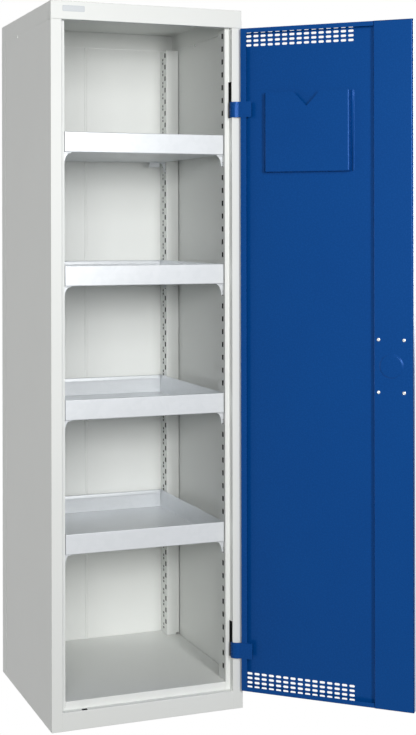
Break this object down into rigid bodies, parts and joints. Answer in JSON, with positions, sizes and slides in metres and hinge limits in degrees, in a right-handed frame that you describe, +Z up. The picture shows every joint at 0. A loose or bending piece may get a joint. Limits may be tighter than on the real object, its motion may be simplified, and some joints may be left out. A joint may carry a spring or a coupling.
{
  "type": "hazardous materials cabinet",
  "caption": "Tall steel cabinet for hazardous materials with a vented hinged door, rod lock, document pocket and sump trays on slotted uprights.",
  "frame": {"origin": "on the floor, in the middle of the plinth's bottom flange, 10 mm behind the cabinet's front face", "axes": "+Z up, +Y towards the back, +X to the right seen from the front; the door stands open at rest"},
  "size_m": [0.8414, 0.8257, 1.8],
  "materials": {
    "body_paint": "satin powder coat",
    "door_paint": "satin powder coat",
    "galvanised_steel": "galvanised",
    "zinc_plated_steel": "zinc plated",
    "handle_plastic": "fine grained",
    "lock_chrome": "polished",
    "label": "blank"
  },
  "bodies": {
    "carcass": {"left_side_panel": "body_paint", "right_side_panel": "body_paint", "back_panel": "body_paint", "top_panel": "body_paint", "label_plate": "label", "plinth_rail": "body_paint", "floor_panel": "body_paint", "front_left_upright": "body_paint", "front_right_upright": "body_paint", "rear_left_upright": "body_paint", "rear_right_upright": "body_paint", "tray_1": "galvanised_steel", "tray_2": "galvanised_steel", "tray_3": "galvanised_steel", "tray_4": "galvanised_steel", "clip_1_front_left": "galvanised_steel", "clip_1_front_right": "galvanised_steel", "clip_1_rear_left": "galvanised_steel", "clip_1_rear_right": "galvanised_steel", "clip_2_front_left": "galvanised_steel", "clip_2_front_right": "galvanised_steel", "clip_2_rear_left": "galvanised_steel", "clip_2_rear_right": "galvanised_steel", "clip_3_front_left": "galvanised_steel", "clip_3_front_right": "galvanised_steel", "clip_3_rear_left": "galvanised_steel", "clip_3_rear_right": "galvanised_steel", "clip_4_front_left": "galvanised_steel", "clip_4_front_right": "galvanised_steel", "clip_4_rear_left": "galvanised_steel", "clip_4_rear_right": "galvanised_steel", "hinge_bracket_lower": "zinc_plated_steel", "hinge_bracket_upper": "zinc_plated_steel"},
    "door": {"door_panel": "door_paint", "lock_channel": "door_paint", "document_pocket": "door_paint", "hinge_arm_lower": "door_paint", "hinge_arm_upper": "door_paint", "hinge_pin_lower": "zinc_plated_steel", "hinge_pin_upper": "zinc_plated_steel", "lock_case": "zinc_plated_steel", "lock_screw_1": "zinc_plated_steel", "lock_screw_2": "zinc_plated_steel", "lock_screw_3": "zinc_plated_steel", "lock_screw_4": "zinc_plated_steel", "handle_rose": "handle_plastic", "rod_guide_lower": "handle_plastic", "rod_guide_upper": "handle_plastic"},
    "handle": {"turn_handle": "handle_plastic", "lock_cam": "zinc_plated_steel"},
    "key_plug": {"lock_plug": "lock_chrome"},
    "upper_bolt": {"upper_rod": "zinc_plated_steel"},
    "lower_bolt": {"lower_rod": "zinc_plated_steel"}
  },
  "joints": [
    {"name": "door_swing", "type": "hinge", "parent": "carcass", "child": "door", "pos_m": [0.2405, -0.003, 0.9], "axis": [0, 0, 1], "range_deg": [-137.3, 0]},
    {"name": "handle_turn", "type": "hinge", "parent": "door", "child": "handle", "pos_m": [0.54619, -0.27556, 0.897], "axis": [0.6782, 0.7349, 0], "range_deg": [0, 90]},
    {"name": "key_turn", "type": "hinge", "parent": "handle", "child": "key_plug", "pos_m": [0.54619, -0.27556, 0.897], "axis": [0.6782, 0.7349, 0], "range_deg": [0, 90]},
    {"name": "upper_rod_slide", "type": "slide", "parent": "door", "child": "upper_bolt", "axis": [0, 0, 1], "range_m": [0, 0.02]},
    {"name": "lower_rod_slide", "type": "slide", "parent": "door", "child": "lower_bolt", "axis": [0, 0, -1], "range_m": [0, 0.02]}
  ],
  "couplings": [
    {"joint": "upper_rod_slide", "follows": "handle_turn", "m_per_rad": 0.01273},
    {"joint": "lower_rod_slide", "follows": "handle_turn", "m_per_rad": 0.01273}
  ]
}
